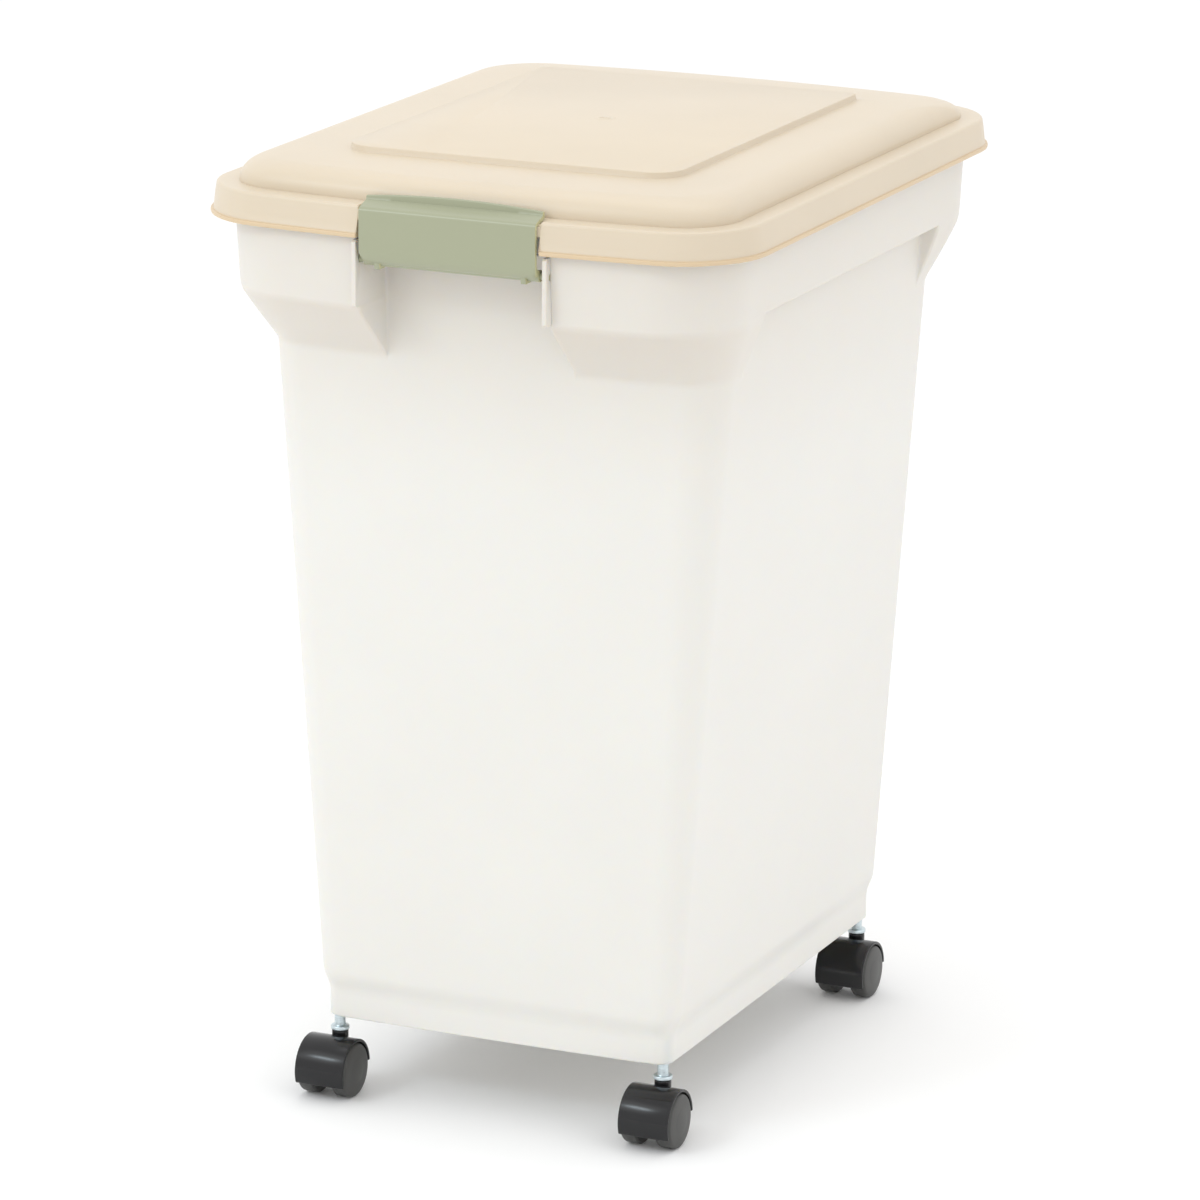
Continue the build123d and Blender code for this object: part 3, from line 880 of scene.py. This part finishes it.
def lid_skin():
    """From the middle of the underside out to the lip, and back over the top to the panel."""
    top = DOME_Z + PANEL_H
    ribs = [(7, 0), (7, RIB_H), (5, RIB_H), (5, 0), (0, 0), (0, RIB_H), (-2, RIB_H), (-2, 0)]
    skirt_inside = [(6.2, DECK_Z), (4.2, LIP_Z + 0.5), (3.8, LIP_Z)]
    bead = [(1.0, LIP_Z), (0.3, LIP_Z + 0.3), (0.0, LIP_Z + 1.0), (0.0, LIP_Z + 2.2)]
    bead += [(0.25, LIP_Z + 2.75), (0.8, LIP_Z + 3.0)]
    skirt = [(1.7, LIP_Z + 3.05), (2.05, LIP_Z + 3.5), (2.6, LIP_Z + 9.0), (3.3, LIP_Z + 15.0)]
    skirt += arc(6.2, FLANGE_Z - 2.2, 2.2, 180, 90, 6)
    flange = [(8.5, FLANGE_Z), (12.0, FLANGE_Z), (16.9, FLANGE_Z), (18.9, FLANGE_Z)]
    dome_shares = (0.0, 0.03, 0.08, 0.14, 0.22, 0.3, 0.38, 0.46, 0.54, 0.62, 0.7, 0.78, DOME_END)
    panel = [(-2.0, DOME_Z - 0.05), (-0.5, DOME_Z), (0.0, DOME_Z + 0.15), (0.25, DOME_Z + 0.6)]
    panel += [(0.75, top - 0.7), (0.95, top - 0.25), (1.4, top)]
    loops = [panel_ring(4.0, top - LID_T), panel_ring(3.0, DOME_Z - LID_T)]
    loops += [dome_ring(DOME_END * (1 - k / 8), LID_T) for k in range(9)]
    loops += [under_ring(FLANGE_IN + LID_T, DECK_Z)]
    loops += [rib_ring(inset, DECK_Z - drop) for inset, drop in ribs]
    loops += [under_ring(inset, z) for inset, z in skirt_inside]
    loops += [lid_ring(inset, z) for inset, z in bead + skirt + flange]
    loops += [dome_ring(share, 0.0) for share in dome_shares]
    loops += [panel_ring(inset, z) for inset, z in panel]
    return tidy_normals(loops_to_mesh("lid_skin", loops, LID), 38)


def knuckle(x):
    """The lid's half of a hinge, between two cheeks of the tub."""
    root = LIP_Y - BOW * (HINGE_X / LIP_X) ** 2 - KNUCKLE_IN
    profile = [(root, FLANGE_Z - 5), (root, LIP_Z + 3.0)]
    profile += arc(*HINGE, HINGE_R, 180, 360, 20)
    profile += [(HINGE[0] + HINGE_R, HINGE[1] + HINGE_R), (root + 6.0, FLANGE_Z - 5)]
    body = plate("knuckle", profile, x - KNUCKLE_HALF, x + KNUCKLE_HALF, LID, (*HINGE, KNUCKLE_HOLE_R))
    return bevel(body, 0.6)


def gate_parts():
    """The moulding's gate mark in the middle of the panel: a low disc with a small bar on it."""
    top = DOME_Z + PANEL_H
    disc = [(0.01, top - 1), (GATE_R, top - 1), (GATE_R, top + 0.05), (GATE_R - 0.3, top + 0.12)]
    disc += [(0.01, top + 0.12)]
    low = PANEL_MIDDLE - 1.0
    high = PANEL_MIDDLE + 1.0
    bar = [(low, top - 1), (high, top - 1), (high, top + 0.5), (low, top + 0.5)]
    return [
        lathe("gate_disc", disc, LID, (0.0, PANEL_MIDDLE, 0.0)),
        bevel(plate("gate_mark", bar, -4.0, 4.0, LID), 0.25),
    ]


lid_parts = [lid_skin()]
lid_parts += [knuckle(side * HINGE_X) for side in (-1, 1)]
lid = shifted(join("lid", lid_parts + gate_parts()))
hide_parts("lid_shell")
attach(lid, "lid")


# Latch: a bent plate with a rising hook, arms and a barrel

LATCH_X = 63.8
LATCH_T = 2.5
FRONT_Y = -261.3
HOOK_Y = -246.8
UNDER_Z = FLANGE_Z + 0.4
TOP_Z = UNDER_Z + LATCH_T
LOW_Z = TOP_Z - 42.0
TIP_Z = TOP_Z + 5.5
TIP_ARCH = 3.0
TIP_R = 0.9
FLAT_LOW = 14.0
FLAT_HIGH = 26.0
TOP_BEND = 3.5
LOW_BEND = 9.0
LOW_CORNER = 4.5
ARM_X = 53.0
ARM_T = 4.0
BARREL_END = 70.0
BARREL_R = 4.0
TRUNNION_R = 2.5
LATCH_STATIONS = 64


def latch_profile(x):
    """The latch's section at a place along its width; the lip arches and the low corners are round."""
    tip = TIP_Z - TIP_ARCH * (x / LATCH_X) ** 2
    inside_y = FRONT_Y + LATCH_T
    bend_y = FRONT_Y + LOW_BEND
    bend_z = LOW_Z + LOW_BEND
    profile = [(PIVOT[0] + 0.5, LOW_Z), (PIVOT[0] - 0.2, LOW_Z)]
    profile += arc(bend_y, bend_z, LOW_BEND, -90, -180, 12)
    profile += [(FRONT_Y, LOW_Z + FLAT_LOW), (FRONT_Y, LOW_Z + FLAT_HIGH)]
    profile += arc(FRONT_Y + TOP_BEND, TOP_Z - 6.3, TOP_BEND, 180, 100, 8)
    profile += [(mix(FRONT_Y, HOOK_Y, 0.5), TOP_Z - 1.5), (HOOK_Y - 3.1, TOP_Z - 0.15)]
    profile += [(HOOK_Y - 2.6, TOP_Z + 0.4)]
    profile += arc(HOOK_Y - 1.6, tip - TIP_R, TIP_R, 180, 90, 4)
    profile += arc(HOOK_Y - TIP_R, tip - TIP_R, TIP_R, 90, 0, 4)
    profile += [(HOOK_Y, UNDER_Z + 0.5), (HOOK_Y - 0.5, UNDER_Z)]
    profile += [(inside_y + 1.0, UNDER_Z - 2.8), (inside_y, UNDER_Z - 3.8)]
    profile += [(inside_y, LOW_Z + FLAT_HIGH), (inside_y, LOW_Z + FLAT_LOW)]
    profile += arc(bend_y, bend_z, LOW_BEND - LATCH_T, -180, -90, 10)
    profile += [(PIVOT[0] + 0.5, LOW_Z + LATCH_T)]
    corner_start = LATCH_X - LOW_CORNER
    low_z = LOW_Z
    if abs(x) > corner_start:
        low_z += LOW_CORNER - math.sqrt(max(0.0, LOW_CORNER**2 - (abs(x) - corner_start) ** 2))
    flat_z = LOW_Z + FLAT_LOW
    squeeze = (flat_z - low_z) / FLAT_LOW
    return [(x, y, z if z > flat_z else low_z + (z - LOW_Z) * squeeze) for y, z in profile]


def latch_skin():
    """The plate; its sections lie closer together towards the ends."""
    turns = [math.pi * k / LATCH_STATIONS for k in range(LATCH_STATIONS + 1)]
    loops = [latch_profile(-LATCH_X * math.cos(t)) for t in turns]
    return tidy_normals(loops_to_mesh("latch_plate", loops, GREEN), 40)


def latch_arm(x):
    """A gusset that joins the plate to the barrel."""
    profile = [(FRONT_Y + 4.0, LOW_Z + 2.0), (PIVOT[0] - 4.5, LOW_Z - 3.2), (PIVOT[0] + 4.0, LOW_Z - 3.2)]
    profile += [(PIVOT[0], PIVOT[1] + 4.0), (FRONT_Y + 2.0, PIVOT[1] + 4.0)]
    return bevel(plate("arm", profile, x - ARM_T / 2, x + ARM_T / 2, GREEN), 0.5)


def latch_barrel():
    """The bar between the arms, with a trunnion at each end that turns in an ear."""
    half = [(0.01, -BARREL_END), (TRUNNION_R - 0.4, -BARREL_END), (TRUNNION_R, 0.4 - BARREL_END)]
    half += [(TRUNNION_R, -LATCH_X), (BARREL_R - 0.5, -LATCH_X), (BARREL_R, 0.5 - LATCH_X)]
    whole = half + [(radius, -x) for radius, x in reversed(half)]
    return lathe("barrel", whole, GREEN, (0.0, *PIVOT), "X", 40)


latch = shifted(join("latch", [latch_skin(), latch_arm(-ARM_X), latch_arm(ARM_X), latch_barrel()]))
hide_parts("front_latch")
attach(latch, "latch")


# Casters, drawn with the stem on the z axis and the wheels trailing to -Y

WHEEL_R = 19.0
WHEEL_IN = 6.8
WHEEL_OUT = 19.8
WHEEL_ROUND = 2.5
WHEEL_HOLE_R = 2.58
HUB_R = 7.8
TRAIL = 12.5
HOOD_R = 22.1
HOOD_T = 2.2
HOOD_HALF = 18.5
HOOD_REAR_Z = 20.0
HOOD_FRONT_Z = 11.0
WEB_HALF = 6.0
AXLE_BOSS_R = 6.0
NECK_Z = 43.1
NECK_R = 5.8
NECK_HOLE_R = 3.58
NECK_HOLE_Z = NECK_Z - 16.0
NECK_LOW_Z = NECK_Z - 18.2
JOURNAL_R = 3.5
STEM_R = 3.8
COLLAR_R = 6.5
COLLAR_LOW = NECK_Z + 0.08
COLLAR_TOP = NECK_Z + 3.08
STEM_TOP = FOOT_Z + 27.0
AXIS_POINT = (0.0, 0.0, 0.0)


def place_at(piece, corner):
    """Moves a piece drawn about its stem to its corner of the container."""
    x, y = CORNERS[corner]
    for vertex in piece.data.vertices:
        vertex.co += Vector((x * STEM[0], y * STEM[1] + SHIFT, 0.0)) * MM
    return piece


def hood(name):
    """A curved cover over both wheels, a web between them and the neck that turns on the stem."""
    start = math.degrees(math.asin((HOOD_REAR_Z - WHEEL_R) / HOOD_R))
    end = 180.0 + math.degrees(math.asin((WHEEL_R - HOOD_FRONT_Z) / HOOD_R))
    shell = arc(-TRAIL, WHEEL_R, HOOD_R, start, end, 40)
    shell += arc(-TRAIL, WHEEL_R, HOOD_R - HOOD_T, end, start, 40)
    cover = bevel(plate("cover", shell, -HOOD_HALF, HOOD_HALF, BLACK), 0.8, 3)
    web = arc(-TRAIL, WHEEL_R, HOOD_R - 1.0, start, end, 40)
    web += [(-TRAIL - 4.0, HOOD_FRONT_Z)]
    web += arc(-TRAIL, WHEEL_R, AXLE_BOSS_R, 240, 360, 10)
    web += [(-TRAIL + 8.0, HOOD_REAR_Z)]
    rib = bevel(plate("web", web, -WEB_HALF, WEB_HALF, BLACK), 0.6)
    neck = [(NECK_HOLE_R, NECK_HOLE_Z), (NECK_HOLE_R, NECK_Z - 0.3), (NECK_HOLE_R + 0.32, NECK_Z)]
    neck += [(NECK_R - 0.6, NECK_Z), (NECK_R - 0.15, NECK_Z - 0.25), (NECK_R, NECK_Z - 0.7)]
    neck += [(NECK_R, NECK_Z - 3.0), (NECK_R, NECK_LOW_Z), (0.01, NECK_LOW_Z), (0.01, NECK_HOLE_Z)]
    return join(name, [cover, rib, lathe("neck", neck, BLACK, AXIS_POINT, around=True)])


def wheel(name, side):
    """A wheel with a rounded tread, a slightly domed face and a blind hole for the axle."""
    hole_x = WHEEL_OUT - 3.92
    face = [(0.01, hole_x), (WHEEL_HOLE_R, hole_x), (WHEEL_HOLE_R, WHEEL_IN)]
    face += [(WHEEL_R - 1.25, WHEEL_IN), (WHEEL_R, WHEEL_IN + 1.25)]
    face += arc(WHEEL_R - WHEEL_ROUND, WHEEL_OUT - 3.3, WHEEL_ROUND, 0, 80, 8)
    face += [(13.0, WHEEL_OUT - 0.45), (10.0, WHEEL_OUT - 0.25), (HUB_R + 0.4, WHEEL_OUT - 0.08)]
    face += [(HUB_R, WHEEL_OUT), (0.01, WHEEL_OUT)]
    profile = [(radius, side * x) for radius, x in face]
    return lathe(name, profile, TREAD, (0.0, -TRAIL, WHEEL_R), "X", 80)


def stem(name):
    """A steel stem: the journal in the hood, the collar and the part that the foot grips."""
    body = [(0.01, NECK_Z - 13.8), (JOURNAL_R - 0.3, NECK_Z - 13.8), (JOURNAL_R, NECK_Z - 13.5)]
    body += [(JOURNAL_R, COLLAR_LOW), (COLLAR_R - 0.6, COLLAR_LOW), (COLLAR_R, COLLAR_LOW + 0.5)]
    body += [(COLLAR_R, COLLAR_TOP - 0.6), (COLLAR_R - 0.3, COLLAR_TOP - 0.15)]
    body += [(COLLAR_R - 0.7, COLLAR_TOP), (STEM_R + 0.3, COLLAR_TOP), (STEM_R, COLLAR_TOP + 0.4)]
    body += [(STEM_R, STEM_TOP - 0.5), (STEM_R - 0.5, STEM_TOP), (0.01, STEM_TOP)]
    return lathe(name, body, ZINC, AXIS_POINT)


for corner in CORNERS:
    piece = place_at(hood(corner + "_hood_body"), corner)
    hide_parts(corner + "_hood")
    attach(piece, corner + "_caster")
    piece = place_at(stem(corner + "_stem_body"), corner)
    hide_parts(corner + "_stem")
    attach(piece, "root")
    for side, word in ((-1, "left"), (1, "right")):
        piece = place_at(wheel(f"{corner}_{word}_tread", side), corner)
        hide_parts(f"{corner}_wheel_{word}")
        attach(piece, f"{corner}_{word}_wheel")


# Floor

FLOOR_HALF = 6000.0


def floor_paper():
    """Matt off-white paper."""
    material, tree, shader = principled("floor_paper", 0.9)
    color_ramp(tree, shader, noise(tree, 3.0, 2.0), [(0.2, (0.94, 0.94, 0.94)), (0.8, (0.96, 0.96, 0.96))])
    return material


corners = [(x * FLOOR_HALF, y * FLOOR_HALF, 0.0) for x, y in ((-1, -1), (1, -1), (1, 1), (-1, 1))]
floor = mesh_object("floor", corners, [(0, 1, 2, 3)], floor_paper())
